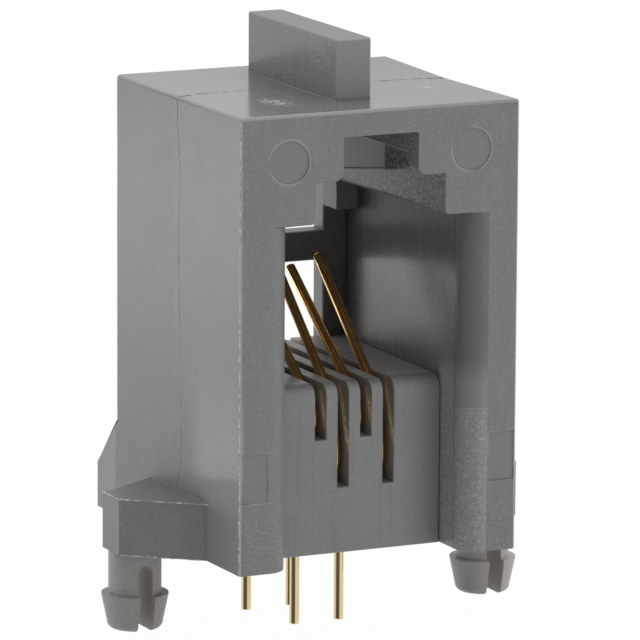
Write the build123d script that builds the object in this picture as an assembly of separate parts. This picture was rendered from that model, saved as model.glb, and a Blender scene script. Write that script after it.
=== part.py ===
import os
from math import radians, tan

from build123d import *

# Modular jack with four contacts, for soldering to a circuit board.
# Frame: +Z up from the board, which lies at z = 0. The plug goes in towards +Y through the front.
# Origin: on the board, midway between the two snap pegs. Millimetres.

# Body. Its front and rear faces are full size, and it narrows to a waist at the mould line, y = 0.
body_width = 12.42
front_depth = 6.35
rear_depth = 5.95
waist_inset = 0.08
corner_radius = 0.15
front_edge_radius = 0.12
rear_edge_radius = 0.2

# Plug port, open at the front and below. Its ceiling falls a little towards the rear.
port_width = 7.8
port_height = 14.13
ceiling_fall = 0.26
entry_radius = 0.96
rear_wall = 0.95

# Latch way over the port: a channel for the latch, and a narrower slot above it in the front face.
# Each rise is measured up from the port's ceiling at the front.
channel_width = 5.76
channel_rise = 1.69
channel_rear_rise = 0.92
channel_edge_radius = 0.2
slot_width = 3.32
slot_rise = 3.45
roof_thickness = 1.07
catch_thickness = 0.9
catch_chamfer = 0.25
pocket_depth = 5.6
pocket_side_rise = 2.02
pocket_inner_rise = 2.5

# Stops in the two rear top corners of the port, which the nose of the plug meets
stop_depth = 1.25
stop_drop = 1.48

# Rear window, as wide as the channel, with a crossbar
window_edge_radius = 0.12
bar_bottom = 10.33
bar_top = 11.6

# Tab standing on the top
tab_thickness = 1.55
tab_height = 2.46
tab_setback = 2.6
tab_length = 8.45
tab_edge_radius = 0.08

# Feet that carry the side walls on behind the rear face
foot_reach = 1.86
foot_top = 3.9
foot_nose = 1.93

# Ears beside the body, which hold the pegs
ear_reach = 2.85
ear_height = 2.33
ear_tip_front = 0.85
ear_tip_rear = 0.8
ear_step = 0.25
ear_root_front = 3.25
ear_root_rear = 2.55

# Split snap pegs
peg_diameter = 2.18
barb_diameter = 2.76
barb_drop = 1.8
barb_edge = 0.08
peg_length = 3.28
peg_tip_diameter = 2.3
peg_tip_radius = 0.3
split_width = 0.67
split_top = 0.5

# Shallow marks that the mould leaves in the front face
mark_depth = 0.05
round_mark_diameter = 1.75
round_mark_offset = 4.06
round_mark_drop = 1.92
square_mark_width = 1.16
square_mark_height = 2.05
square_mark_bottom = 2.95
square_mark_margin = 0.11

# Contact carrier, pushed up into the port from below on two side rails
carrier_setback = 2.28
carrier_height = 7.05
carrier_edge_radius = 0.55
carrier_gap = 0.03
tongue_drop = 0.12
tongue_gap = 0.06
rail_width = 0.45
rail_length = 3.0
rail_height = 5.8
rail_gap = 0.05

# Contacts. They lie at two levels in turn, and each level has its own row of pins.
contact_count = 4
contact_pitch = 1.02
wire_diameter = 0.4
wire_gap = 0.02
wire_setback = 0.72
end_chamfer = 0.06
groove_width = 0.49
groove_depth = 1.05
front_slot_depth = 1.35
run_clearance = 0.03
pin_bend = 0.5
levels = {
    "upper": {"slot_bottom": 4.75, "arm_angle": 34.6, "arm_foot": 5.98, "arm_reach": 6.59,
              "top_bend": 1.0, "low_bend": 0.4, "pin_row": 3.05, "pin_length": 3.88},
    "lower": {"slot_bottom": 2.72, "arm_angle": 40.8, "arm_foot": 5.8, "arm_reach": 6.06,
              "top_bend": 4.2, "low_bend": 0.7, "pin_row": 0.51, "pin_length": 4.02},
}

# Heights that follow from the port's
port_rear_height = port_height - ceiling_fall
stop_height = port_height - stop_drop
channel_height = port_height + channel_rise
channel_rear_height = port_height + channel_rear_rise
pocket_side_height = port_height + pocket_side_rise
pocket_inner_height = port_height + pocket_inner_rise
slot_height = port_height + slot_rise
body_height = slot_height + roof_thickness

# Places that follow from the sizes
front = -front_depth
rear = rear_depth
tail = rear + foot_reach
half_width = body_width / 2
port_half = port_width / 2
port_rear = rear - rear_wall
channel_half = channel_width / 2
slot_half = slot_width / 2
ear_tip = half_width + ear_reach
peg_x = ear_tip - peg_diameter / 2
carrier_front = front + carrier_setback
wire_front = carrier_front + wire_setback
beyond = 1.0


def block(x0, x1, y0, y1, z0, z1):
    """A block between two corners."""
    return Pos((x0 + x1) / 2, (y0 + y1) / 2, (z0 + z1) / 2) * Box(x1 - x0, y1 - y0, z1 - z0)


def both_sides(shape):
    """The shape together with its mirror image on the other side of the middle."""
    return shape + mirror(shape, about=Plane.YZ)


def extruded_across(points, half):
    """An outline in (y, z), carried across the middle by half each way."""
    outline = make_face(Polyline([(-half, y, z) for y, z in points], close=True).edges())
    return extrude(outline, amount=2 * half, dir=(1, 0, 0))


def extruded_back(points, y0, y1):
    """An outline in (x, z), carried back from y0 to y1."""
    outline = make_face(Polyline([(x, y0, z) for x, z in points], close=True).edges())
    return extrude(outline, amount=y1 - y0, dir=(0, 1, 0))


def body_section(y, inset):
    """The body's outline at y, with its two top corners rounded."""
    plane = Plane(origin=(0, y, 0), x_dir=(1, 0, 0), z_dir=(0, -1, 0))
    outline = plane * Rectangle(body_width - 2 * inset, body_height - inset, align=(Align.CENTER, Align.MIN))
    return fillet(outline.vertices().group_by(Axis.Z)[-1], corner_radius)


def make_body():
    """The drafted shell outside, with the feet, before anything is hollowed out."""
    tail_growth = waist_inset * foot_reach / rear_depth
    waist = body_section(0, waist_inset)
    body = loft([body_section(front, 0), waist], ruled=True)
    body += loft([waist, body_section(tail, -tail_growth)], ruled=True)
    above_feet = [(rear, foot_top), (tail + beyond, foot_nose - beyond * (foot_top - foot_nose) / foot_reach),
                  (tail + beyond, body_height + beyond), (rear, body_height + beyond)]
    body -= extruded_across(above_feet, body_width)
    body -= block(-port_half, port_half, rear, tail + beyond, -beyond, body_height)
    front_rim = body.edges().filter_by_position(Axis.Y, front, front).filter_by_position(
        Axis.Z, 0, body_height, inclusive=(False, True))
    body = fillet(front_rim, front_edge_radius)
    rear_rim = body.edges().filter_by_position(Axis.Y, rear, rear).filter_by_position(
        Axis.Z, foot_top, body_height, inclusive=(False, True))
    return fillet(rear_rim, rear_edge_radius)


def make_ear():
    """The ear on the +X side, seen from above as a slanted block with a small step behind."""
    root = half_width - waist_inset - front_edge_radius
    points = [(root, -ear_root_front), (half_width - waist_inset, -ear_root_front), (ear_tip, -ear_tip_front),
              (ear_tip, ear_tip_rear), (ear_tip - ear_step, ear_tip_rear),
              (half_width - waist_inset, ear_root_rear), (root, ear_root_rear)]
    outline = make_face(Polyline([(x, y, 0) for x, y in points], close=True).edges())
    return extrude(outline, amount=ear_height, dir=(0, 0, 1))


def make_peg():
    """The snap peg on the +X side: a turned shank and barb, split from front to back."""
    shank = peg_diameter / 2
    barb = barb_diameter / 2
    tip = peg_tip_diameter / 2
    slope_end = -peg_length + peg_tip_radius
    profile = Polyline((0, 0, 0), (0, 0, -peg_length), (tip - peg_tip_radius, 0, -peg_length))
    rounding = TangentArc((tip - peg_tip_radius, 0, -peg_length), (tip, 0, slope_end), tangent=(1, 0, 0))
    flank = Polyline((tip, 0, slope_end), (barb, 0, -barb_drop - barb_edge), (barb, 0, -barb_drop),
                     (shank, 0, -barb_drop), (shank, 0, 0), (0, 0, 0))
    outline = make_face(profile.edges() + [rounding] + flank.edges())
    peg = revolve(outline, axis=Axis.Z)
    slit_half = split_width / 2
    slit = block(-slit_half, slit_half, -barb, barb, -peg_length - beyond, -split_top - slit_half)
    slit += Pos(0, 0, -split_top - slit_half) * Rot(90, 0, 0) * Cylinder(slit_half, 2 * barb)
    return Pos(peg_x, 0, 0) * (peg - slit)


def make_port():
    """The space for the plug, with rounded front corners and a ceiling that falls towards the rear."""
    flare = port_half + entry_radius
    lines = Polyline((port_half, front + entry_radius), (port_half, port_rear), (-port_half, port_rear),
                     (-port_half, front + entry_radius))
    left = RadiusArc((-port_half, front + entry_radius), (-flare, front), entry_radius)
    mouth = Polyline((-flare, front), (-flare, front - beyond), (flare, front - beyond), (flare, front))
    right = RadiusArc((flare, front), (port_half, front + entry_radius), entry_radius)
    plan = make_face(lines.edges() + [left] + mouth.edges() + [right])
    port = Pos(0, 0, -beyond) * extrude(plan, amount=port_height + 2 * beyond, dir=(0, 0, 1))
    fall = (port_height - port_rear_height) / (port_rear - front)
    under_ceiling = [(front - beyond, -beyond), (port_rear, -beyond), (port_rear, port_rear_height),
                     (front - beyond, port_height + fall * beyond)]
    port &= extruded_across(under_ceiling, body_width)
    stop = block(channel_half, port_half + beyond, port_rear - stop_depth, port_rear + beyond,
                 stop_height, body_height)
    return port - both_sides(stop)


def make_latch_way():
    """The channel over the port, the slot in the front face and the pocket behind the two catch plates."""
    low = port_rear_height - beyond
    pocket_end = front + pocket_depth
    way = block(-channel_half, channel_half, front - beyond, pocket_end, low, channel_height)
    way += block(-channel_half, channel_half, front - beyond, rear + beyond, low, channel_rear_height)
    slot_side = [(slot_half + catch_chamfer, channel_height), (slot_half, channel_height + catch_chamfer),
                 (slot_half, slot_height)]
    slot = slot_side + [(-x, z) for x, z in reversed(slot_side)]
    way += extruded_back(slot, front - beyond, pocket_end)
    pocket_side = [(channel_half, channel_height), (channel_half, pocket_side_height),
                   (slot_half, pocket_inner_height)]
    pocket = pocket_side + [(-x, z) for x, z in reversed(pocket_side)]
    way += extruded_back(pocket, front + catch_thickness, pocket_end)
    return way


def round_inner_edges(housing):
    """The housing with rounded edges where the port runs into the channel, and round the window inside."""
    def beside(edge):
        return abs(abs(edge.center().X) - channel_half) < 0.001

    foot = [edge for edge in housing.edges().filter_by(Axis.Y, tolerance=5)
            if beside(edge) and port_rear_height < edge.center().Z < port_height]
    housing = fillet(foot, channel_edge_radius)
    inner_wall = housing.edges().filter_by_position(Axis.Y, port_rear, port_rear)
    upright = [edge for edge in inner_wall if beside(edge) and 0 < edge.center().Z < stop_height]
    level = [edge for edge in inner_wall
             if abs(edge.center().X) < 0.001 and 0 < edge.center().Z < stop_height]
    return fillet(upright + level, window_edge_radius)


def make_window():
    """The opening in the rear wall below and above the crossbar."""
    window = block(-channel_half, channel_half, port_rear - beyond, rear + beyond, -beyond, bar_bottom)
    window += block(-channel_half, channel_half, port_rear - beyond, rear + beyond, bar_top, channel_rear_height)
    return window


def make_tab():
    """The upright tab on the top, running from front to back."""
    start = front + tab_setback
    tab = block(-tab_thickness / 2, tab_thickness / 2, start, start + tab_length,
                body_height - waist_inset - corner_radius, body_height + tab_height)
    rims = tab.edges().filter_by(Axis.Z) + tab.edges().group_by(Axis.Z)[-1]
    return fillet(rims, tab_edge_radius)


def make_marks():
    """The two round and two upright marks pressed into the front face."""
    round_mark = Pos(round_mark_offset, front, body_height - round_mark_drop) * Rot(90, 0, 0) * Cylinder(
        round_mark_diameter / 2, 2 * mark_depth)
    outer = half_width - square_mark_margin
    square_mark = block(outer - square_mark_width, outer, front - mark_depth, front + mark_depth,
                        square_mark_bottom, square_mark_bottom + square_mark_height)
    return both_sides(round_mark + square_mark)


def make_housing():
    """The grey moulded housing in one piece."""
    housing = make_body()
    housing += both_sides(make_ear())
    housing += both_sides(make_peg())
    housing += make_tab()
    housing -= make_port()
    housing -= make_latch_way()
    housing -= make_window()
    housing = round_inner_edges(housing)
    housing -= both_sides(block(
        port_half - rail_gap, port_half + rail_width + rail_gap, -rail_length / 2 - rail_gap,
        rail_length / 2 + rail_gap, -beyond, rail_height + rail_gap))
    housing -= make_marks()
    return housing


def contact_places():
    """The x of each contact with the level it lies at, from left to right."""
    middle = (contact_count - 1) / 2
    return [((i - middle) * contact_pitch, "upper" if i % 2 == 0 else "lower") for i in range(contact_count)]


def wire_path(x, level):
    """Centre line of one contact: down the arm, round the front of the carrier, back, and down the pin."""
    size = levels[level]
    run = size["slot_bottom"] + run_clearance + wire_diameter / 2
    rise = tan(radians(size["arm_angle"])) * size["arm_reach"]
    tip = (x, wire_front + size["arm_reach"], size["arm_foot"] + rise)
    knee = (x, wire_front, size["arm_foot"])
    heel = (x, wire_front, run)
    turn = (x, size["pin_row"], run)
    foot = (x, size["pin_row"], -size["pin_length"])
    return FilletPolyline(tip, knee, heel, turn, foot,
                          radius=(size["top_bend"], size["low_bend"], pin_bend))


def swept_wire(x, level, diameter):
    """Round wire of the given diameter along the contact's centre line."""
    path = wire_path(x, level)
    section = Plane(origin=path @ 0, z_dir=path % 0) * Circle(diameter / 2)
    return sweep(section, path=path)


def make_contact(x, level):
    """One gold-plated contact, with its two cut ends broken."""
    wire = swept_wire(x, level, wire_diameter)
    ends = wire.edges().filter_by(GeomType.CIRCLE).filter_by(
        lambda rim: abs(rim.radius - wire_diameter / 2) < 0.001)
    low_end = ends.sort_by(Axis.Z)[0]
    high_end = ends.sort_by(Axis.Z)[-1]
    return chamfer([low_end, high_end], end_chamfer)


def make_carrier():
    """The insulating block that holds the contacts, with a comb of grooves on top."""
    half = port_half - carrier_gap
    carrier = block(-half, half, carrier_front, port_rear - carrier_gap, 0, carrier_height)
    nose = carrier.edges().filter_by(Axis.X).group_by(Axis.Z)[-1].sort_by(Axis.Y)[0]
    carrier = fillet(nose, carrier_edge_radius)
    tongue = channel_half - tongue_gap
    carrier += block(-tongue, tongue, port_rear - beyond, rear - tongue_gap, 0, carrier_height - tongue_drop)
    carrier += both_sides(block(half - beyond, half + rail_width, -rail_length / 2, rail_length / 2,
                                0, rail_height))
    for x, level in contact_places():
        left = x - groove_width / 2
        right = x + groove_width / 2
        carrier -= block(left, right, carrier_front - beyond, rear + beyond,
                         carrier_height - groove_depth, carrier_height + beyond)
        carrier -= block(left, right, carrier_front - beyond, carrier_front + front_slot_depth,
                         levels[level]["slot_bottom"], carrier_height + beyond)
        carrier -= swept_wire(x, level, wire_diameter + 2 * wire_gap)
    return carrier


os.makedirs("parts", exist_ok=True)
export_step(make_housing(), "parts/housing.step")
export_step(make_carrier(), "parts/contact_carrier.step")
for number, (x, level) in enumerate(contact_places(), start=1):
    export_step(make_contact(x, level), f"parts/contact_{number}.step")
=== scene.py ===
import math
from types import SimpleNamespace

import bmesh
import bpy
from mathutils import Matrix, Vector


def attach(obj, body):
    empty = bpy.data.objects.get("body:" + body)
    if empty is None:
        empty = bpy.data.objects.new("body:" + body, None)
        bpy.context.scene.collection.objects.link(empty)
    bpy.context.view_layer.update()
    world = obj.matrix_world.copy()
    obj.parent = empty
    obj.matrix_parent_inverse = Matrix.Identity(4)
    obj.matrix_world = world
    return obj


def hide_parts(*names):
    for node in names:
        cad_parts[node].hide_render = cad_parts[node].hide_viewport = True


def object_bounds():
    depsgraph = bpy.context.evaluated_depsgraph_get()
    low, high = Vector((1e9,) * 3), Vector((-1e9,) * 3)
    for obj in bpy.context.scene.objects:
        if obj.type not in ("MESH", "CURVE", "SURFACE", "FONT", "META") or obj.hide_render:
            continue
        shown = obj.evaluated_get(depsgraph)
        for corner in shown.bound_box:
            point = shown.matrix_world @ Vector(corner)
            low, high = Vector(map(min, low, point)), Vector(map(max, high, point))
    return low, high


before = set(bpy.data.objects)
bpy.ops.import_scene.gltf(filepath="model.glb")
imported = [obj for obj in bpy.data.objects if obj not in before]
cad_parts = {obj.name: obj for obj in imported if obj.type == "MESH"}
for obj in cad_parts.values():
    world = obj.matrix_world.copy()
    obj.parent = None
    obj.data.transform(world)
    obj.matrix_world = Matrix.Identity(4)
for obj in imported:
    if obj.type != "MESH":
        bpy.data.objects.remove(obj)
cad_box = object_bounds()

# Housing. The grey body, tab, feet, ears and split pegs leave the mould as one piece of filled
# polyester, satin outside and spark-eroded inside the port and latch way. No edge of it is quite
# sharp, and the two mould halves part just behind its middle.
housing_edge = 0.00004
edge_segments = 2
hair = 0.00001
weld_distance = 1e-7
sharp_angle = math.radians(28)
smooth_angle = math.radians(38)
flat_angle = math.radians(0.3)
housing_grey = (0.248, 0.249, 0.242, 1)
housing_pale = (0.292, 0.293, 0.285, 1)
housing_fleck = (0.42, 0.425, 0.42, 1)
front_face = -0.00635
peg_side = 0.0065
peg_middle = 0.00797
peg_slit_half = 0.00034
peg_reach = 0.00102
ear_end = 0.0089
rear_rim_y = 0.0057
rear_rim_z = 0.0184
round_mark_x = 0.00406
round_mark_z = 0.01673
round_mark_reach = 0.0010
upright_mark_x = 0.0049
upright_mark_low = 0.0028
upright_mark_high = 0.0051
mark_back = 0.00008
tab_end_y = -0.0037
# Heights of the painted shadow band on the port's walls, where their gloss changes too.
wall_band_z = (0.0112, 0.0122)
# Heights where the rounded entry's right arc gets grain and painted shade.
arc_grain_and_shade_z = (0.00603, 0.00597)


def in_a_mark(point):
    """True where a point lies at one of the shallow marks in the front face."""
    if point.y > front_face + mark_back:
        return False
    side = abs(point.x)
    if math.hypot(side - round_mark_x, point.z - round_mark_z) < round_mark_reach:
        return True
    return side > upright_mark_x and upright_mark_low < point.z < upright_mark_high


def on_a_peg(point):
    """True where a point lies on a peg below its ear."""
    return point.z < -hair and abs(point.x) > peg_side


def too_tight_to_round(point):
    """True at the rear rim and under the ears' ends, where the solid is round or too narrow for more."""
    if point.y > rear_rim_y and point.z > rear_rim_z:
        return True
    return abs(point.z) < hair and abs(point.x) > ear_end


def keep_flats_flat(shape, mesh):
    """Normals that follow the largest flat patch at each corner, so that rounded edges don't shade it."""
    shape.normal_update()
    patch_of = {}
    area_of = []
    for face in shape.faces:
        if face.index in patch_of:
            continue
        patch = len(area_of)
        patch_of[face.index] = patch
        area = 0.0
        waiting = [face]
        while waiting:
            here = waiting.pop()
            area += here.calc_area()
            for edge in here.edges:
                if len(edge.link_faces) != 2 or edge.calc_face_angle(math.pi) > flat_angle:
                    continue
                for other in edge.link_faces:
                    if other.index not in patch_of:
                        patch_of[other.index] = patch
                        waiting.append(other)
        area_of.append(area)
    normals = []
    for face in shape.faces:
        for loop in face.loops:
            fan = {face}
            waiting = [face]
            while waiting:
                for edge in waiting.pop().edges:
                    if loop.vert in edge.verts and edge.calc_face_angle(math.pi) < smooth_angle:
                        fresh = [other for other in edge.link_faces if other not in fan]
                        fan.update(fresh)
                        waiting += fresh
            total = Vector()
            for other in fan:
                total += other.normal * area_of[patch_of[other.index]] ** 2
            normals.append(total.normalized() if total.length > 0 else face.normal)
    mesh.normals_split_custom_set(normals)


def softened_copy(node, name, width, leave):
    """A closed copy of a CAD node with its sharp edges rounded, except where leave says not to."""
    shape = bmesh.new()
    shape.from_mesh(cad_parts[node].data)
    bmesh.ops.remove_doubles(shape, verts=shape.verts, dist=weld_distance)
    low, high = [Vector(map(pick, zip(*(vert.co for vert in shape.verts)))) for pick in (min, max)]
    sharp = [edge for edge in shape.edges
             if len(edge.link_faces) == 2 and edge.calc_face_angle() > sharp_angle
             and not any(leave(vert.co) for vert in edge.verts)]
    bmesh.ops.bevel(shape, geom=sharp, offset=width, offset_type="OFFSET", segments=edge_segments,
                    profile=0.5, affect="EDGES", clamp_overlap=False)
    for vert in shape.verts:
        vert.co = [min(max(value, least), most) for value, least, most in zip(vert.co, low, high)]
    shape.faces.index_update()
    mesh = bpy.data.meshes.new(name)
    shape.to_mesh(mesh)
    mesh.shade_smooth()
    keep_flats_flat(shape, mesh)
    shape.free()
    piece = bpy.data.objects.new(name, mesh)
    bpy.context.collection.objects.link(piece)
    return piece


def applied(piece):
    """The piece with its modifiers made part of a plain mesh."""
    evaluated = piece.evaluated_get(bpy.context.evaluated_depsgraph_get())
    mesh = bpy.data.meshes.new_from_object(evaluated)
    mesh.name = piece.name
    piece.modifiers.clear()
    piece.data = mesh
    return piece


def add_node(tree, kind, inputs=None, **settings):
    """One node in a tree, with its settings and what goes into its sockets."""
    made = tree.nodes.new(kind)
    for name, value in settings.items():
        setattr(made, name, value)
    for socket, value in (inputs or {}).items():
        if isinstance(value, bpy.types.NodeSocket):
            tree.links.new(value, made.inputs[socket])
        else:
            made.inputs[socket].default_value = value
    return made


def calc(tree, operation, first, second=0.0):
    """The result of a Math node."""
    return add_node(tree, "ShaderNodeMath", {0: first, 1: second}, operation=operation).outputs[0]


def blended(tree, factor, first, second):
    """The result of mixing two colours."""
    return add_node(tree, "ShaderNodeMix", {0: factor, 6: first, 7: second}, data_type="RGBA").outputs[2]


def spread(tree, value, low, high, to_low=0.0, to_high=1.0):
    """A value taken from one range to another, and kept inside it."""
    return add_node(tree, "ShaderNodeMapRange", {"Value": value, "From Min": low, "From Max": high,
                                                  "To Min": to_low, "To Max": to_high}).outputs[0]


def noise(tree, place, scale, detail=2.0, rough=0.5):
    """The grey value of a noise pattern."""
    return add_node(tree, "ShaderNodeTexNoise", {"Vector": place, "Scale": scale, "Detail": detail,
                                                  "Roughness": rough}).outputs[0]


def stretched(tree, place, scale):
    """The place with each axis scaled, for a pattern that runs one way."""
    return add_node(tree, "ShaderNodeMapping", {"Vector": place, "Scale": scale}).outputs[0]


def new_material(name):
    """An empty node material and its tree."""
    material = bpy.data.materials.new(name)
    material.use_nodes = True
    material.node_tree.nodes.clear()
    return material, material.node_tree


def finished(tree, colour, roughness, **sockets):
    """The plastic or metal shader on the tree's output, with its plain numbers on its own sockets."""
    shader = add_node(tree, "ShaderNodeBsdfPrincipled", {"Base Color": colour, "Roughness": roughness})
    for name, value in sockets.items():
        socket = shader.inputs[name.replace("_", " ")]
        if isinstance(value, bpy.types.NodeSocket):
            tree.links.new(value, socket)
        else:
            socket.default_value = value
    add_node(tree, "ShaderNodeOutputMaterial", {"Surface": shader.outputs[0]})


def over(tree, value, limit):
    """One where a value is over a limit, nought elsewhere."""
    return calc(tree, "GREATER_THAN", value, limit)


def under(tree, value, limit):
    """One where a value is under a limit, nought elsewhere."""
    return calc(tree, "LESS_THAN", value, limit)


def all_of(tree, *masks):
    """The product of several masks."""
    total = masks[0]
    for mask in masks[1:]:
        total = calc(tree, "MULTIPLY", total, mask)
    return total


def most_of(tree, *masks):
    """The strongest of several masks."""
    total = masks[0]
    for mask in masks[1:]:
        total = calc(tree, "MAXIMUM", total, mask)
    return total


def away_from(tree, value, centre):
    """How far a value lies from a centre, either way."""
    return calc(tree, "ABSOLUTE", calc(tree, "SUBTRACT", value, centre))


def oval_patch(tree, place, centre, reach, soft):
    """A soft-edged oval patch round a centre, with the given half lengths."""
    away = add_node(tree, "ShaderNodeVectorMath", {0: place, 1: centre}, operation="SUBTRACT").outputs[0]
    scaled = add_node(tree, "ShaderNodeVectorMath", {0: away, 1: tuple(1 / length for length in reach)},
                      operation="MULTIPLY").outputs[0]
    far = add_node(tree, "ShaderNodeVectorMath", {0: scaled}, operation="LENGTH").outputs["Value"]
    return spread(tree, far, 1.0, 1.0 - soft)


def layered(tree, colour, layers):
    """A colour with layers laid over it in turn, each with its mask, its strength and its shade."""
    for mask, strength, shade in layers:
        colour = blended(tree, calc(tree, "MULTIPLY", mask, strength), colour, shade)
    return colour


def housing_zones(tree, place):
    """Masks for the parts of the housing whose plastic looks different or that get painted shade or light,
    with the axes they lie along.
    """
    entry_x, entry_y, entry_z = 0.00488, -0.00636, 0.0141
    latch_x, latch_y, latch_low, latch_high = 0.00295, -0.00622, 0.0139, 0.01775
    wall_x, wall_y = 0.0038, -0.0054
    grain_end_y = 0.0058
    front_y = -0.0062
    top_low, top_high = 0.01852, 0.01869
    slot_end_front, slot_end_back, slot_end_low = -0.00080, -0.00070, 0.01500

    across, along, up = add_node(tree, "ShaderNodeSeparateXYZ", {0: place}).outputs
    side = calc(tree, "ABSOLUTE", across)
    zone = SimpleNamespace(across=across, along=along, up=up, side=side)
    before_rear = under(tree, along, grain_end_y)
    zone.entry = all_of(tree, under(tree, side, entry_x), over(tree, along, entry_y),
                        under(tree, up, entry_z), before_rear)
    zone.latch_way = all_of(tree, under(tree, side, latch_x), over(tree, along, latch_y),
                            under(tree, up, latch_high), over(tree, up, latch_low), before_rear)
    zone.inside = all_of(tree, most_of(tree, zone.entry, zone.latch_way), over(tree, up, hair))
    zone.wall = all_of(tree, zone.inside, over(tree, side, wall_x), under(tree, up, entry_z),
                       over(tree, along, wall_y))
    zone.right_inside = all_of(tree, zone.inside, over(tree, across, wall_x))
    zone.low_right = all_of(tree, zone.entry, over(tree, across, 0.0), spread(tree, up, *arc_grain_and_shade_z))
    zone.slot_end = all_of(tree, zone.inside, over(tree, along, slot_end_front),
                           under(tree, along, slot_end_back), over(tree, up, slot_end_low))
    zone.front = under(tree, along, front_y)
    zone.below = under(tree, up, -hair)
    zone.on_top = all_of(tree, over(tree, up, top_low), under(tree, up, top_high))
    zone.on_tab = over(tree, up, top_high)
    return zone


def housing_patterns(tree, place):
    """The noise patterns that more than one part of the housing shows."""
    return SimpleNamespace(spark=noise(tree, place, 9600, 1.0, 0.5),
                           fine=noise(tree, place, 9500, 2.0, 0.6),
                           cloud=noise(tree, place, 600, 3, 0.6),
                           drawn=noise(tree, stretched(tree, place, (9000.0, 9000.0, 350.0)), 1.0, 2))


def grain_strength(tree, zone):
    """How strongly the spark-eroded grain shows in each part of the housing."""
    arc_grain, peg_grain, foot_grain = 0.42, 0.30, 0.14
    wall_ramp = (0.0118, 0.0140, 0.05, 0.55)
    tab_ramp = (0.0206, 0.0190, 0.10, 0.40)
    foot_y, foot_ramp = -0.0054, (0.0029, 0.0024)
    return most_of(tree, all_of(tree, zone.latch_way, under(tree, zone.slot_end, 0.5)),
                   all_of(tree, zone.wall, spread(tree, zone.up, *wall_ramp)),
                   calc(tree, "MULTIPLY", zone.low_right, arc_grain),
                   calc(tree, "MULTIPLY", zone.below, peg_grain),
                   all_of(tree, under(tree, zone.along, foot_y), spread(tree, zone.up, *foot_ramp),
                          foot_grain),
                   all_of(tree, zone.on_tab, over(tree, zone.along, tab_end_y),
                          spread(tree, zone.up, *tab_ramp)))


def mottled_grey(tree, place, pattern):
    """The two housing greys in a fine mottle, with sparse pale flecks."""
    fine_share, cloud_share = 0.7, 0.3
    fleck_scale, fleck_size, fleck_scarcity = 5200.0, 0.13, 0.60
    mixed = calc(tree, "ADD", calc(tree, "MULTIPLY", pattern.fine, fine_share),
                 calc(tree, "MULTIPLY", pattern.cloud, cloud_share))
    colour = blended(tree, spread(tree, mixed, 0.40, 0.60), housing_grey, housing_pale)
    sparse = over(tree, noise(tree, place, 900, 1), fleck_scarcity)
    dots = add_node(tree, "ShaderNodeTexVoronoi", {"Vector": place, "Scale": fleck_scale}).outputs["Distance"]
    return blended(tree, all_of(tree, under(tree, dots, fleck_size), sparse), colour, housing_fleck)


def inner_layers(tree, zone, pattern, grained):
    """Grain and drag lines in the port and the latch way, with painted shade on the ledge, the deep rear, the
    walls and a band near their top, and painted light at the slot's far end with a painted shade line along
    its lip and a painted highlight below it.
    """
    grain_and_shade_black = (0.05, 0.05, 0.048, 1)
    pepper_level, salt_level = (0.50, 0.38), (0.53, 0.66)
    dark_drag_level, pale_drag_level = (0.48, 0.66), (0.44, 0.30)
    ledge_z, deep_y, deep_end_y = 0.0158, (0.0030, 0.0040), 0.00502
    pepper_strength = (0.0156, 0.0160, 0.80, 0.58)
    lip_slope, lip_z, lip_half, under_lip_z = 0.0687, 0.015355, (0.00005, 0.00001), -0.00006

    # Painted shade: the ledge in the latch way is darkened.
    ledge_shade = all_of(tree, zone.latch_way, under(tree, zone.up, ledge_z))
    pepper = all_of(tree, spread(tree, pattern.spark, *pepper_level), grained)
    salt = all_of(tree, spread(tree, pattern.spark, *salt_level), grained)
    # Painted shade: the deep rear of the port is darkened.
    deep_shade = all_of(tree, zone.inside, spread(tree, zone.along, *deep_y), under(tree, zone.along, deep_end_y))
    # Painted shadow: a dark band near the top of the port's walls.
    wall_shadow_band = all_of(tree, zone.wall, spread(tree, zone.up, *wall_band_z))
    dark_drag = all_of(tree, zone.wall, spread(tree, pattern.drawn, *dark_drag_level))
    pale_drag = all_of(tree, zone.wall, spread(tree, pattern.drawn, *pale_drag_level))
    # Painted shade line along the lip at the slot's far end, and a painted highlight below it.
    tilted = calc(tree, "ADD", zone.up, calc(tree, "MULTIPLY", zone.across, lip_slope))
    over_lip = calc(tree, "SUBTRACT", tilted, lip_z)
    crease_shade = all_of(tree, zone.slot_end, spread(tree, calc(tree, "ABSOLUTE", over_lip), *lip_half))
    lip_highlight = all_of(tree, zone.slot_end, under(tree, over_lip, under_lip_z))
    return [
        (ledge_shade, 0.32, grain_and_shade_black),
        (pepper, spread(tree, zone.up, *pepper_strength), grain_and_shade_black),
        (salt, 0.45, (0.62, 0.62, 0.60, 1)),
        (deep_shade, 0.5, (0.06, 0.058, 0.055, 1)),
        # Painted shade: the port's walls are darkened all over.
        (zone.wall, 0.22, (0.06, 0.055, 0.045, 1)),
        (wall_shadow_band, 0.40, (0.05, 0.046, 0.040, 1)),
        (dark_drag, 0.45, (0.16, 0.125, 0.09, 1)),
        (pale_drag, 0.25, (0.50, 0.46, 0.40, 1)),
        # Painted light: the slot's far end is lightened.
        (zone.slot_end, 0.62, (0.72, 0.71, 0.68, 1)),
        (crease_shade, 0.85, (0.05, 0.05, 0.047, 1)),
        (lip_highlight, 0.4, (0.9, 0.9, 0.88, 1)),
    ]


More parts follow.
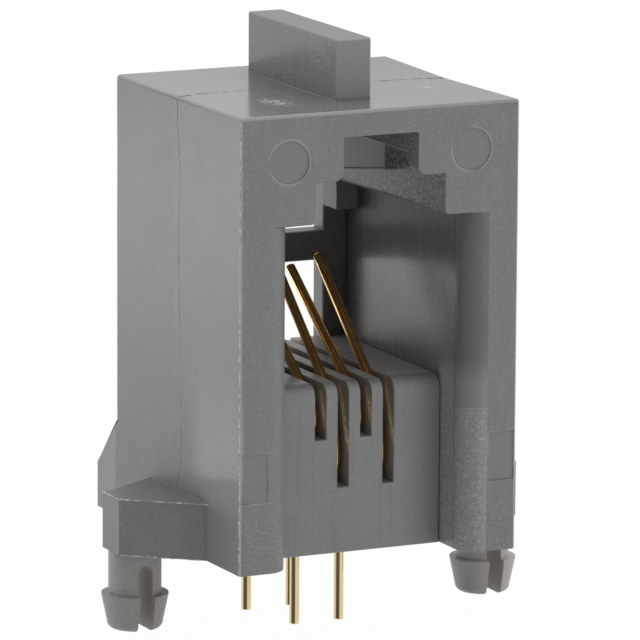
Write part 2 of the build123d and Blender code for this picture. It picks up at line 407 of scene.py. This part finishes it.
def outer_layers(tree, place, zone):
    """Painted shade and light on the top, the pegs, the rear, the tab and the left side, and a ripple on the
    tab.
    """
    top_strength = (-0.001, 0.003, 0.28, 0.62)
    rear_y = 0.00596
    left_x, left_inner_x = -0.0063, -0.0060
    sheen_z, sheen_y = (0.0085, 0.0045), (-0.0014, -0.0026)
    ear_slope, above_ear = 0.175, (0.00272, 0.00302)
    ear_shade_z, ear_shade_y, rear_half_y = (0.00231, 0.00217), -0.0030, 0.0002
    ripple_centre, ripple_reach = (-0.000775, -0.0021, 0.0202), (0.0003, 0.0014, 0.0006)
    shaded_patch_centre, shaded_patch_reach = (-0.0062, -0.0003, 0.0046), (0.001, 0.0016, 0.0036)
    shaded_patch_share, rear_share = 0.7, 0.5

    grooves = noise(tree, stretched(tree, place, (2000.0, 1500.0, 7000.0)), 1.0, 3)
    ripple = all_of(tree, oval_patch(tree, place, ripple_centre, ripple_reach, 0.7),
                    spread(tree, grooves, 0.46, 0.58))
    left_side = all_of(tree, under(tree, zone.across, left_inner_x), over(tree, zone.across, left_x))
    over_ear = calc(tree, "ADD", zone.up, calc(tree, "MULTIPLY", zone.along, ear_slope))
    sheen = all_of(tree, left_side, spread(tree, zone.up, *sheen_z), spread(tree, over_ear, *above_ear),
                   spread(tree, zone.along, *sheen_y))
    # A patch of painted shade on the left side.
    shaded_patch = oval_patch(tree, place, shaded_patch_centre, shaded_patch_reach, 0.8)
    dim = most_of(tree, calc(tree, "MULTIPLY", shaded_patch, shaded_patch_share),
                  all_of(tree, spread(tree, zone.up, *ear_shade_z), under(tree, zone.along, ear_shade_y)),
                  calc(tree, "MULTIPLY", over(tree, zone.along, rear_half_y), rear_share))
    return [
        # Painted shade: the top is darkened, more towards the right.
        (zone.on_top, spread(tree, zone.across, *top_strength), (0.10, 0.10, 0.10, 1)),
        # Painted light: the underside and the pegs are lightened, the right peg more, and so is the rear
        # face.
        (zone.below, 0.46, (0.52, 0.52, 0.50, 1)),
        (all_of(tree, zone.below, over(tree, zone.across, 0.0)), 0.42, (0.60, 0.59, 0.57, 1)),
        (over(tree, zone.along, rear_y), 0.40, (0.52, 0.52, 0.50, 1)),
        (ripple, 0.30, (0.62, 0.62, 0.60, 1)),
        # Painted light on the tab's front end.
        (all_of(tree, zone.on_tab, under(tree, zone.along, tab_end_y)), 0.35, (0.50, 0.50, 0.49, 1)),
        # Painted sheen on the left side.
        (sheen, 0.22, (0.72, 0.72, 0.69, 1)),
        # Painted shade on parts of the left side: a patch, a low strip in front of the ear, and the rear
        # half.
        (all_of(tree, left_side, dim), 0.13, (0.06, 0.06, 0.058, 1)),
    ]


def right_layers(tree, zone, pattern):
    """Painted light beside the carrier, painted shade and sparkle on the port's rounded entry, and painted
    light in the pegs' slits.
    """
    beside_y, beside_z = (-0.0039, -0.0041), (0.0080, 0.0070)
    arc_x, arc_y = 0.00385, -0.0052
    arc_strength = (*arc_grain_and_shade_z, 0.30, 0.16)
    sparkle_level = (0.60, 0.74)

    light_beside_carrier = all_of(tree, zone.right_inside, spread(tree, zone.along, *beside_y),
                            spread(tree, zone.up, *beside_z))
    arc = all_of(tree, zone.entry, over(tree, zone.across, arc_x), under(tree, zone.along, arc_y))
    sparkle = all_of(tree, arc, zone.low_right, spread(tree, pattern.spark, *sparkle_level))
    slit = all_of(tree, zone.below, under(tree, away_from(tree, zone.side, peg_middle), peg_slit_half),
                  under(tree, calc(tree, "ABSOLUTE", zone.along), peg_reach))
    return [
        # Painted light beside the carrier.
        (light_beside_carrier, 0.30, (0.78, 0.77, 0.74, 1)),
        # Painted shade on the right arc of the port's rounded entry.
        (arc, spread(tree, zone.up, *arc_strength), (0.06, 0.06, 0.055, 1)),
        (sparkle, 0.24, (0.80, 0.80, 0.77, 1)),
        # Painted light: the pegs' slits are lightened and warmed.
        (slit, 0.65, (0.44, 0.35, 0.29, 1)),
    ]


def edge_highlight_mask(tree, zone):
    """A mask of the rounded edges round the top, at the upright corners and on the tab, where a pale rim is
    painted as a highlight.
    """
    brim_x, brim_y, brim_z = 0.00605, -0.00622, 0.01851
    corner_x, corner_y = 0.00612, -0.00625
    tab_rim_x, tab_rim_y, tab_rim_z = 0.00070, -0.00367, 0.02103
    brim_strength, corner_strength, tab_strength = 0.45, 0.62, 0.32

    brim = all_of(tree, over(tree, zone.up, brim_z), zone.on_top,
                  most_of(tree, over(tree, zone.side, brim_x), under(tree, zone.along, brim_y)))
    corner = all_of(tree, over(tree, zone.side, corner_x), under(tree, zone.along, corner_y),
                    over(tree, zone.up, 0.0))
    tab_side = over(tree, zone.side, tab_rim_x)
    tab_front = under(tree, zone.along, tab_rim_y)
    tab_rim = all_of(tree, zone.on_tab, most_of(
        tree, all_of(tree, tab_side, tab_front),
        all_of(tree, over(tree, zone.up, tab_rim_z), most_of(tree, tab_side, tab_front))))
    return most_of(tree, calc(tree, "MULTIPLY", brim, brim_strength),
                   calc(tree, "MULTIPLY", corner, corner_strength),
                   calc(tree, "MULTIPLY", tab_rim, tab_strength))


def mark_layers(tree, zone, pattern):
    """The shallow marks in the front face: a cooler grey inside, and a pale broken rim round each, painted as
    a highlight on its edge.
    """
    panel_x, panel_z, panel_half_width, panel_half_height = 0.00552, 0.003975, 0.00058, 0.001025
    panel_rim = (0.00005, 0.00002)
    panel_breaks, ring_breaks = (0.42, 0.55), (0.40, 0.55)
    disc_radius, ring_radius, ring_half, disc_low = 0.00086, 0.00090, (0.00006, 0.00002), 0.0155
    panel_grey, disc_grey = (0.255, 0.261, 0.261, 1), (0.258, 0.268, 0.271, 1)
    rim_highlight_grey = (0.48, 0.48, 0.47, 1)

    from_panel = calc(
        tree, "MAXIMUM",
        calc(tree, "SUBTRACT", away_from(tree, zone.side, panel_x), panel_half_width),
        calc(tree, "SUBTRACT", away_from(tree, zone.up, panel_z), panel_half_height))
    panel = all_of(tree, zone.front, under(tree, from_panel, 0.0))
    panel_line = all_of(tree, zone.front, spread(tree, calc(tree, "ABSOLUTE", from_panel), *panel_rim),
                        spread(tree, pattern.cloud, *panel_breaks))
    offset = add_node(tree, "ShaderNodeCombineXYZ", {0: calc(tree, "SUBTRACT", zone.side, round_mark_x),
                                                     1: calc(tree, "SUBTRACT", zone.up, round_mark_z)})
    distance = add_node(tree, "ShaderNodeVectorMath", {0: offset.outputs[0]}, operation="LENGTH")
    from_disc = distance.outputs["Value"]
    upper_front = all_of(tree, zone.front, over(tree, zone.up, disc_low))
    disc = all_of(tree, upper_front, under(tree, from_disc, disc_radius))
    ring = all_of(tree, upper_front, spread(tree, away_from(tree, from_disc, ring_radius), *ring_half),
                  spread(tree, pattern.cloud, *ring_breaks))
    return [
        (panel, 0.5, panel_grey),
        # Painted highlight: a pale broken rim on each mark's edge.
        (panel_line, 0.5, rim_highlight_grey),
        (disc, 0.5, disc_grey),
        (ring, 0.55, rim_highlight_grey),
    ]


def top_wear(tree, place, zone):
    """A mask of the smear and the scuff on the top face."""
    smear_centre, smear_reach = (-0.0031, -0.0030, 0.0186), (0.00075, 0.0015, 0.001)
    scuff_centre, scuff_reach = (0.0042, -0.0021, 0.0186), (0.0005, 0.0013, 0.001)
    smear = all_of(tree, oval_patch(tree, place, smear_centre, smear_reach, 0.9),
                   spread(tree, noise(tree, place, 3500, 3, 0.7), 0.42, 0.6), zone.on_top)
    scuff = all_of(tree, oval_patch(tree, place, scuff_centre, scuff_reach, 0.8),
                   spread(tree, noise(tree, place, 2600, 3, 0.7), 0.5, 0.62), zone.on_top)
    return calc(tree, "MAXIMUM", smear, scuff)


def make_housing_plastic():
    """Satin grey with fine mottling, spark-eroded grain inside and on the pegs, wear on top, and painted
    shade and light by place.
    """
    satin_range, top_polish, wear_roughness = (0.38, 0.44), 0.23, 0.3
    wall_polish = (0.13, -0.10)
    fine_height, line_height, drawn_height = 0.10, 0.12, 0.15
    relief_strength, relief_depth = 0.8, 0.000020

    material, tree = new_material("grey housing plastic")
    place = add_node(tree, "ShaderNodeTexCoord").outputs["Object"]
    zone = housing_zones(tree, place)
    pattern = housing_patterns(tree, place)
    grained = grain_strength(tree, zone)
    rounded = edge_highlight_mask(tree, zone)
    worn = top_wear(tree, place, zone)
    colour = mottled_grey(tree, place, pattern)
    colour = layered(tree, colour, inner_layers(tree, zone, pattern, grained))
    colour = layered(tree, colour, outer_layers(tree, place, zone))
    colour = layered(tree, colour, right_layers(tree, zone, pattern))
    # Painted highlight: a pale rim on the rounded edges.
    colour = layered(tree, colour, [(rounded, 1.0, (0.66, 0.65, 0.62, 1))])
    colour = layered(tree, colour, mark_layers(tree, zone, pattern))
    colour = layered(tree, colour, [(worn, 0.75, (0.86, 0.86, 0.84, 1))])

    roughness = spread(tree, pattern.fine, 0.3, 0.7, *satin_range)
    roughness = calc(tree, "SUBTRACT", roughness, calc(tree, "MULTIPLY", zone.on_top, top_polish))
    polish = spread(tree, zone.up, *wall_band_z, *wall_polish)
    roughness = calc(tree, "SUBTRACT", roughness, calc(tree, "MULTIPLY", zone.wall, polish))
    rougher = calc(tree, "MULTIPLY", most_of(tree, worn, rounded), wear_roughness)
    roughness = calc(tree, "ADD", roughness, rougher)

    lines = noise(tree, stretched(tree, place, (300.0, 9000.0, 300.0)), 1.0, 2)
    height = calc(tree, "ADD", calc(tree, "MULTIPLY", pattern.fine, fine_height),
                  calc(tree, "MULTIPLY", pattern.spark, grained))
    height = calc(tree, "ADD", height, all_of(tree, lines, zone.on_top, line_height))
    height = calc(tree, "ADD", height, all_of(tree, pattern.drawn, zone.wall, drawn_height))
    normal = add_node(tree, "ShaderNodeBump", {"Strength": relief_strength, "Distance": relief_depth,
                                               "Height": height})
    finished(tree, colour, roughness, Normal=normal.outputs[0])
    return material


housing = softened_copy("housing", "housing_body", housing_edge,
                        lambda point: in_a_mark(point) or on_a_peg(point) or too_tight_to_round(point))
housing_plastic = make_housing_plastic()
housing.data.materials.clear()
housing.data.materials.append(housing_plastic)
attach(housing, "root")
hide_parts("housing")

# Mould flash. Where the mould halves and slides close on the housing, the same plastic is squeezed
# out: a thin dark line round the middle and over the tab, and a pale ragged rim, a few hundredths
# of a millimetre thick, on the front left edge and on the ears. It is part of the moulding.
seam_radius = 0.000015
rim_radius = 0.000028
bead_step = 0.00006
bead_waver = 0.000020
bead_sides = 6
drift_scale = 2600.0
ragged_scale = 5200.0
ragged_range = (0.35, 0.7)
ragged_thickness = (0.25, 1.3)
seam_dark = (0.13, 0.13, 0.127, 1)
rim_grey = (0.42, 0.42, 0.40, 1)
rim_pale = (0.88, 0.88, 0.85, 1)
flash_roughness = 0.5


def flash_tree():
    """A geometry tree that lays a thin uneven bead along each line of a mesh."""
    tree = bpy.data.node_groups.new("mould flash bead", "GeometryNodeTree")
    tree.interface.new_socket("Lines", in_out="INPUT", socket_type="NodeSocketGeometry")
    for label, value in [("Bead radius", seam_radius), ("Step", bead_step), ("Waver", bead_waver)]:
        socket = tree.interface.new_socket(label, in_out="INPUT", socket_type="NodeSocketFloat")
        socket.default_value = value
    tree.interface.new_socket("Material", in_out="INPUT", socket_type="NodeSocketMaterial")
    tree.interface.new_socket("Bead", in_out="OUTPUT", socket_type="NodeSocketGeometry")
    given = add_node(tree, "NodeGroupInput").outputs
    curve = add_node(tree, "GeometryNodeMeshToCurve", {"Mesh": given["Lines"]})
    points = add_node(tree, "GeometryNodeResampleCurve", {"Curve": curve.outputs[0], "Length": given["Step"]},
                      mode="LENGTH")
    here = add_node(tree, "GeometryNodeInputPosition").outputs[0]
    drift = add_node(tree, "ShaderNodeTexNoise", {"Vector": here, "Scale": drift_scale, "Detail": 3.0})
    centred = add_node(tree, "ShaderNodeVectorMath", {0: drift.outputs[1], 1: (0.5, 0.5, 0.5)},
                       operation="SUBTRACT")
    shift = add_node(tree, "ShaderNodeVectorMath", {0: centred.outputs[0], "Scale": given["Waver"]},
                     operation="SCALE")
    moved = add_node(tree, "GeometryNodeSetPosition", {"Geometry": points.outputs[0],
                                                       "Offset": shift.outputs[0]})
    ragged = add_node(tree, "ShaderNodeTexNoise", {"Vector": here, "Scale": ragged_scale, "Detail": 2.0})
    thick = spread(tree, ragged.outputs[0], *ragged_range, *ragged_thickness)
    radius = calc(tree, "MULTIPLY", thick, given["Bead radius"])
    ring = add_node(tree, "GeometryNodeCurvePrimitiveCircle", {"Resolution": bead_sides, "Radius": 1.0})
    bead = add_node(tree, "GeometryNodeCurveToMesh", {"Curve": moved.outputs[0],
                                                      "Profile Curve": ring.outputs[0],
                                                      "Scale": radius, "Fill Caps": True})
    whole = add_node(tree, "GeometryNodeRealizeInstances", {"Geometry": bead.outputs[0]})
    shaded = add_node(tree, "GeometryNodeSetMaterial", {"Geometry": whole.outputs[0],
                                                        "Material": given["Material"]})
    add_node(tree, "NodeGroupOutput", {"Bead": shaded.outputs[0]})
    return tree


def line_object(name, lines):
    """An object of open lines through the given points."""
    mesh = bpy.data.meshes.new(name)
    points = [point for line in lines for point in line]
    edges = []
    start = 0
    for line in lines:
        edges += [(start + i, start + i + 1) for i in range(len(line) - 1)]
        start += len(line)
    mesh.from_pydata(points, edges, [])
    piece = bpy.data.objects.new(name, mesh)
    bpy.context.collection.objects.link(piece)
    return piece


def grown(piece, tree, inputs):
    """The piece's lines turned by a geometry tree, with the given named inputs, into a plain mesh."""
    modifier = piece.modifiers.new("grown from lines", "NODES")
    modifier.node_group = tree
    for item in tree.interface.items_tree:
        if item.item_type == "SOCKET" and item.in_out == "INPUT" and item.name in inputs:
            modifier[item.identifier] = inputs[item.name]
    return applied(piece)


waist_x = 0.00613
body_top = 0.01857
tab_x = 0.000775
tab_top = 0.02109
tab_seam_y = 0.0002
seam_up_side = [(0.0000, 0.0023), (-0.0005, 0.0035), (-0.0005, 0.0070), (-0.0003, 0.0100),
                (-0.0002, 0.0131), (-0.0004, 0.0156), (-0.0001, 0.0174), (-0.0001, 0.01842)]
seam_to_tab = [(waist_x - 0.00004, 0.0, 0.01853), (waist_x - 0.00015, 0.0, body_top),
               (0.0050, 0.0003, body_top), (tab_x, 0.0004, body_top)]
front_left_edge = [(-0.00619, -0.00628, 0.0001), (-0.00619, -0.00628, 0.0184)]
ear_top = 0.00233
ear_bottom = 0.00001
ear_top_edge = [(0.00615, -0.00325), (0.00906, -0.00085), (0.00906, 0.0008)]
ear_bottom_edge = [(0.00640, -0.00303), (0.00903, -0.00087)]
seams = [[(-tab_x, tab_seam_y, tab_top), (tab_x, tab_seam_y, tab_top)]]
rims = [front_left_edge]
for hand in (-1, 1):
    seams.append([(hand * waist_x, along, up) for along, up in seam_up_side]
                 + [(hand * across, along, up) for across, along, up in seam_to_tab])
    rims.append([(hand * across, along, ear_top) for across, along in ear_top_edge])
    rims.append([(hand * across, along, ear_bottom) for across, along in ear_bottom_edge])
bead_maker = flash_tree()
for name, lines, thickness, plain_grey, shade in [
        ("mould_seam", seams, seam_radius, housing_grey, seam_dark),
        ("mould_flash", rims, rim_radius, rim_grey, rim_pale)]:
    flash_plastic, tree = new_material(name + " plastic")
    place = add_node(tree, "ShaderNodeTexCoord").outputs["Object"]
    uneven = spread(tree, noise(tree, place, 5000, 2), 0.42, 0.6)
    finished(tree, blended(tree, uneven, plain_grey, shade), flash_roughness)
    flash = grown(line_object(name, lines), bead_maker,
                  {"Material": flash_plastic, "Bead radius": thickness})
    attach(flash, "root")
    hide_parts("housing")

# Contact carrier. A separate block of smoother grey plastic, pushed up into the port from below.
# Its top is a comb of grooves that keep the wires apart, and each wire drops down its own slot in
# the rounded front. Its top gets painted light and its far end painted shade, and a warm painted
# reflection of the gold, with painted gleams, lies on the slots' walls.
carrier_edge = 0.00005
carrier_grey = (0.270, 0.272, 0.267, 1)
carrier_pale = (0.304, 0.306, 0.300, 1)
carrier_drag = (0.17, 0.172, 0.17, 1)
carrier_grain = (0.40, 0.40, 0.39, 1)
gleam = (1.0, 0.86, 0.58, 1)
comb_top = 0.00690
comb_front = -0.0034
slots_half_width = 0.0022
slots_low = 0.0027
slot_wall_facing = -0.8
far_end_x = (0.0022, 0.0036)
tunnel_front = -0.0024
tunnel_top = 0.00595
# For each slot, the gleam's wall in x, its start in y, its low and high ends, half width and strength
glow_on_walls = [(-0.001285, -0.00395, 0.0053, 0.0069, 0.00028, 0.9),
                 (-0.000265, -0.00403, 0.0042, 0.0071, 0.00026, 1.0),
                 (0.000755, -0.00403, 0.0053, 0.0068, 0.00028, 0.8),
                 (0.001775, -0.00403, 0.0044, 0.0071, 0.00026, 1.0)]
glow_slope = 0.33
glow_core = 0.00002
glow_start = (-0.0003, 0.0004)
glow_fade = 0.0006
glow_breaks = (0.38, 0.52, 0.15, 1.0)
wall_half = 0.0001


def glow_layers(tree, axes, slot_wall, grain):
    """The painted streak of reflected gold on the wall of each slot."""
    across, along, up = axes
    layers = []
    for wall_x, near, low, high, width, strength in glow_on_walls:
        rise = calc(tree, "MULTIPLY", calc(tree, "SUBTRACT", up, low), glow_slope)
        off_line = away_from(tree, along, calc(tree, "ADD", rise, near))
        here = under(tree, away_from(tree, across, wall_x), wall_half)
        glow = all_of(tree, slot_wall, here, spread(tree, off_line, width, glow_core),
                      spread(tree, up, low + glow_start[0], low + glow_start[1]),
                      spread(tree, up, high, high - glow_fade), spread(tree, grain, *glow_breaks))
        layers.append((glow, strength, gleam))
    return layers


def make_carrier_plastic():
    """Smooth grey with soft clouds and faint upright drag lines from the mould, painted light on the top,
    painted shade at the far end, and painted reflections of the gold on the slots' walls.
    """
    fine_height, drag_height = 0.3, 0.15
    relief_strength, relief_depth = 0.5, 0.00001

    material, tree = new_material("grey carrier plastic")
    place = add_node(tree, "ShaderNodeTexCoord").outputs["Object"]
    axes = add_node(tree, "ShaderNodeSeparateXYZ", {0: place}).outputs
    across, along, up = axes
    cloud = spread(tree, noise(tree, place, 300, 3), 0.35, 0.65)
    drag = noise(tree, stretched(tree, place, (6000.0, 6000.0, 150.0)), 1.0, 2)
    fine = noise(tree, place, 9000, 2, 0.6)
    top = all_of(tree, over(tree, up, comb_top), over(tree, along, comb_front))
    far_end = all_of(tree, spread(tree, across, *far_end_x), under(tree, along, comb_front))
    normal = add_node(tree, "ShaderNodeNewGeometry").outputs["Normal"]
    facing_across = add_node(tree, "ShaderNodeSeparateXYZ", {0: normal}).outputs[0]
    slot_wall = all_of(tree, under(tree, facing_across, slot_wall_facing),
                       under(tree, calc(tree, "ABSOLUTE", across), slots_half_width),
                       over(tree, up, slots_low))

    colour = blended(tree, cloud, carrier_grey, carrier_pale)
    colour = blended(tree, spread(tree, drag, 0.58, 0.72, 0.0, 0.24), colour, carrier_drag)
    colour = blended(tree, spread(tree, fine, 0.45, 0.62, 0.0, 0.25), colour, carrier_grain)
    # Painted light on the top, painted shade at the far end, and a warm painted reflection on the slots'
    # walls.
    colour = layered(tree, colour, [(top, 0.60, (0.52, 0.52, 0.51, 1)),
                                    (far_end, 0.26, (0.10, 0.10, 0.098, 1)),
                                    (slot_wall, 0.35, (0.30, 0.22, 0.13, 1))])
    # Painted reflection: gleaming streaks of gold on the slots' walls.
    colour = layered(tree, colour, glow_layers(tree, axes, slot_wall, fine))
    roughness = spread(tree, noise(tree, place, 900, 2), 0.3, 0.7, 0.34, 0.44)
    height = calc(tree, "ADD", calc(tree, "MULTIPLY", fine, fine_height),
                  calc(tree, "MULTIPLY", drag, drag_height))
    relief = add_node(tree, "ShaderNodeBump", {"Strength": relief_strength, "Distance": relief_depth,
                                               "Height": height})
    finished(tree, colour, roughness, Normal=relief.outputs[0])
    return material


def in_a_tunnel(point):
    """True where a point lies under the wires' slots, in the round tunnels."""
    return point.y > tunnel_front and point.z < tunnel_top


carrier = softened_copy("contact_carrier", "carrier_block", carrier_edge, in_a_tunnel)
carrier_plastic = make_carrier_plastic()
carrier.data.materials.clear()
carrier.data.materials.append(carrier_plastic)
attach(carrier, "root")
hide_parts("contact_carrier")

# Contacts. Four lengths of round phosphor-bronze wire, plated with gold over nickel, bent over a
# mandrel and cut at both ends. They lie at two levels in turn: a slanted arm in the port, down the
# front slot, back through the carrier, and down through the board as a solder pin.
contact_pitch = 0.00102
contact_count = 4
wire_radius = 0.0002
wire_sides = 28
bend_steps = 14
wire_front_y = -0.00335
pin_bend = 0.0005
cut_edge = 0.00005
cut_edge_segments = 3
cut_edge_angle = math.radians(60)
arm_gold = (0.90, 0.565, 0.24, 1)
arm_gold_dull = (0.84, 0.505, 0.20, 1)
pin_gold = (0.86, 0.70, 0.40, 1)
pin_gold_z = (0.0010, 0.0)
draw_strength = 0.35
draw_depth = 0.0000015
upper_contact = {"angle": 34.6, "foot": 0.00598, "reach": 0.00659, "run": 0.00498,
                 "bends": (0.0010, 0.0004), "row": 0.00305, "pin_end": -0.00388}
lower_contact = {"angle": 40.8, "foot": 0.00580, "reach": 0.00606, "run": 0.00295,
                 "bends": (0.0042, 0.0007), "row": 0.00051, "pin_end": -0.00402}


def wire_tree():
    """A geometry tree that rounds the corners of a line and makes it a round wire."""
    tree = bpy.data.node_groups.new("bent round wire", "GeometryNodeTree")
    tree.interface.new_socket("Line", in_out="INPUT", socket_type="NodeSocketGeometry")
    radius = tree.interface.new_socket("Wire radius", in_out="INPUT", socket_type="NodeSocketFloat")
    radius.default_value = wire_radius
    steps = tree.interface.new_socket("Bend steps", in_out="INPUT", socket_type="NodeSocketInt")
    steps.default_value = bend_steps
    tree.interface.new_socket("Material", in_out="INPUT", socket_type="NodeSocketMaterial")
    tree.interface.new_socket("Wire", in_out="OUTPUT", socket_type="NodeSocketGeometry")
    given = add_node(tree, "NodeGroupInput").outputs
    curve = add_node(tree, "GeometryNodeMeshToCurve", {"Mesh": given["Line"]})
    bend = add_node(tree, "GeometryNodeInputNamedAttribute", {"Name": "bend"}, data_type="FLOAT")
    rounded = add_node(tree, "GeometryNodeFilletCurve", {"Curve": curve.outputs[0],
                                                         "Count": given["Bend steps"],
                                                         "Radius": bend.outputs[0]}, mode="POLY")
    ring = add_node(tree, "GeometryNodeCurvePrimitiveCircle", {"Resolution": wire_sides, "Radius": 1.0})
    wire = add_node(tree, "GeometryNodeCurveToMesh", {"Curve": rounded.outputs[0],
                                                      "Profile Curve": ring.outputs[0],
                                                      "Scale": given["Wire radius"], "Fill Caps": True})
    smooth = add_node(tree, "GeometryNodeSetShadeSmooth", {"Geometry": wire.outputs[0]})
    whole = add_node(tree, "GeometryNodeRealizeInstances", {"Geometry": smooth.outputs[0]})
    shaded = add_node(tree, "GeometryNodeSetMaterial", {"Geometry": whole.outputs[0],
                                                        "Material": given["Material"]})
    add_node(tree, "NodeGroupOutput", {"Wire": shaded.outputs[0]})
    return tree


def make_gold():
    """Gold plate, redder on the arms than on the pins, with fine lines from drawing and bending."""
    material, tree = new_material("gold plated wire")
    place = add_node(tree, "ShaderNodeTexCoord").outputs["Object"]
    dull = spread(tree, noise(tree, place, 1500, 3), 0.4, 0.65)
    colour = blended(tree, dull, arm_gold, arm_gold_dull)
    up = add_node(tree, "ShaderNodeSeparateXYZ", {0: place}).outputs[2]
    # The pins are given a paler gold than the arms.
    colour = blended(tree, spread(tree, up, *pin_gold_z), colour, pin_gold)
    roughness = spread(tree, noise(tree, place, 4000, 3), 0.3, 0.7, 0.07, 0.13)
    drawn = noise(tree, stretched(tree, place, (22000.0, 900.0, 900.0)), 1.0, 2)
    normal = add_node(tree, "ShaderNodeBump", {"Strength": draw_strength, "Distance": draw_depth,
                                               "Height": drawn})
    finished(tree, colour, roughness, Normal=normal.outputs[0], Metallic=1.0)
    return material


def contact_line(x, size):
    """The corners of one contact's centre line, from the arm's tip to the pin's end."""
    rise = math.tan(math.radians(size["angle"])) * size["reach"]
    return [(x, wire_front_y + size["reach"], size["foot"] + rise), (x, wire_front_y, size["foot"]),
            (x, wire_front_y, size["run"]), (x, size["row"], size["run"]), (x, size["row"], size["pin_end"])]


gold = make_gold()
wire_maker = wire_tree()
for number in range(contact_count):
    size = upper_contact if number % 2 == 0 else lower_contact
    across = (number - (contact_count - 1) / 2) * contact_pitch
    contact = line_object(f"contact_wire_{number + 1}", [contact_line(across, size)])
    bends = contact.data.attributes.new("bend", "FLOAT", "POINT")
    bends.data.foreach_set("value", (0.0,) + size["bends"] + (pin_bend, 0.0))
    contact = grown(contact, wire_maker, {"Material": gold})
    cut = contact.modifiers.new("broken cut ends", "BEVEL")
    cut.width = cut_edge
    cut.segments = cut_edge_segments
    cut.limit_method = "ANGLE"
    cut.angle_limit = cut_edge_angle
    contact = applied(contact)
    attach(contact, "root")
    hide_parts(f"contact_{number + 1}")

# Floor. A pale matt sheet that runs out of view on all sides, just under the tips of the pins. It
# takes the object's shadow, looks white itself, and lets reflected rays through to the surround.
floor_reach = 1.5
floor_gap = 0.00001
floor_z = cad_box[0][2] - floor_gap
paper_grey = (0.90, 0.90, 0.90, 1)
paper_pale = (0.93, 0.93, 0.93, 1)
floor_whiteness = 0.97
floor_mesh = bpy.data.meshes.new("pale_floor")
floor_mesh.from_pydata([(-floor_reach, -floor_reach, floor_z), (floor_reach, -floor_reach, floor_z),
                        (floor_reach, floor_reach, floor_z), (-floor_reach, floor_reach, floor_z)],
                       [], [(0, 1, 2, 3)])
floor = bpy.data.objects.new("pale_floor", floor_mesh)
bpy.context.collection.objects.link(floor)
floor_paper, tree = new_material("pale floor paper")
place = add_node(tree, "ShaderNodeTexCoord").outputs["Object"]
fibre = spread(tree, noise(tree, place, 900, 3), 0.3, 0.7)
matt = add_node(tree, "ShaderNodeBsdfDiffuse", {"Color": blended(tree, fibre, paper_grey, paper_pale)})
rays = add_node(tree, "ShaderNodeLightPath").outputs
white = add_node(tree, "ShaderNodeEmission", {"Color": (1, 1, 1, 1), "Strength": 1.0})
seen = calc(tree, "MULTIPLY", calc(tree, "MAXIMUM", rays["Is Camera Ray"], rays["Is Transmission Ray"]),
            floor_whiteness)
mixed = add_node(tree, "ShaderNodeMixShader", {0: seen, 1: matt.outputs[0], 2: white.outputs[0]})
through = add_node(tree, "ShaderNodeBsdfTransparent")
mixed = add_node(tree, "ShaderNodeMixShader", {0: rays["Is Glossy Ray"], 1: mixed.outputs[0],
                                               2: through.outputs[0]})
add_node(tree, "ShaderNodeOutputMaterial", {"Surface": mixed.outputs[0]})
floor_mesh.materials.append(floor_paper)

# Studio. White all round and above, and darker to the left and in front, so that the side and the
# gold have something dark to mirror. One small soft lamp stands low behind, one large one overhead.
dark_side = Vector((-0.76, -0.64, 0.06)).normalized()
dark_from, dark_to = 0.50, 0.80
bright_strength, dark_strength = 0.80, 0.10
studio = bpy.data.worlds.new("studio surround")
bpy.context.scene.world = studio
studio.use_nodes = True
tree = studio.node_tree
tree.nodes.clear()
towards = add_node(tree, "ShaderNodeTexCoord").outputs["Generated"]
facing = add_node(tree, "ShaderNodeVectorMath", {0: towards, 1: tuple(dark_side)}, operation="DOT_PRODUCT")
shade = add_node(tree, "ShaderNodeMapRange", {"Value": facing.outputs["Value"], "From Min": dark_from,
                                              "From Max": dark_to, "To Min": bright_strength,
                                              "To Max": dark_strength}, interpolation_type="SMOOTHSTEP")
surround = add_node(tree, "ShaderNodeBackground", {"Color": (1, 1, 1, 1), "Strength": shade.outputs[0]})
plain = add_node(tree, "ShaderNodeBackground", {"Color": (1, 1, 1, 1), "Strength": 1.0})
rays = add_node(tree, "ShaderNodeLightPath").outputs
mixed = add_node(tree, "ShaderNodeMixShader", {0: rays["Is Camera Ray"], 1: surround.outputs[0],
                                               2: plain.outputs[0]})
add_node(tree, "ShaderNodeOutputWorld", {"Surface": mixed.outputs[0]})


def soft_lamp(name, place, aim, width, height, power):
    """A soft lamp at a place, turned to shine at a point, and not itself in the picture."""
    lamp = bpy.data.lights.new(name, "AREA")
    lamp.shape = "RECTANGLE"
    lamp.size = width
    lamp.size_y = height
    lamp.energy = power
    stand = bpy.data.objects.new(name, lamp)
    bpy.context.collection.objects.link(stand)
    stand.location = place
    stand.rotation_euler = (Vector(aim) - Vector(place)).to_track_quat("-Z", "Y").to_euler()
    stand.visible_camera = False


soft_lamp("low rear lamp", place=(-0.047, 0.078, -0.0010), aim=(0, 0.005, 0.008),
          width=0.040, height=0.006, power=0.0034)
soft_lamp("overhead lamp", place=(0.05, 0.05, 0.35), aim=(0, 0, 0), width=0.3, height=0.3, power=0.12)

# Camera. A long lens, a little to the left of the front and a little above, with no shift.
frame_pixels = 640
lens_pixels = 6500.2
film_width = 36.0
nearest_seen = 0.01
camera_place = Vector((-0.113002, -0.236574, 0.060743))
camera_right = Vector((0.90231, -0.43105, 0.00591))
camera_up = Vector((0.07841, 0.17759, 0.98098))
camera_data = bpy.data.cameras.new("camera")
camera_data.sensor_fit = "HORIZONTAL"
camera_data.sensor_width = film_width
camera_data.lens = film_width * lens_pixels / frame_pixels
camera_data.clip_start = nearest_seen
camera = bpy.data.objects.new("camera", camera_data)
bpy.context.collection.objects.link(camera)
turned = Matrix((camera_right, camera_up, camera_right.cross(camera_up))).transposed()
camera.matrix_world = Matrix.Translation(camera_place) @ turned.to_4x4()
bpy.context.scene.camera = camera
bpy.context.scene.view_settings.view_transform = "Standard"
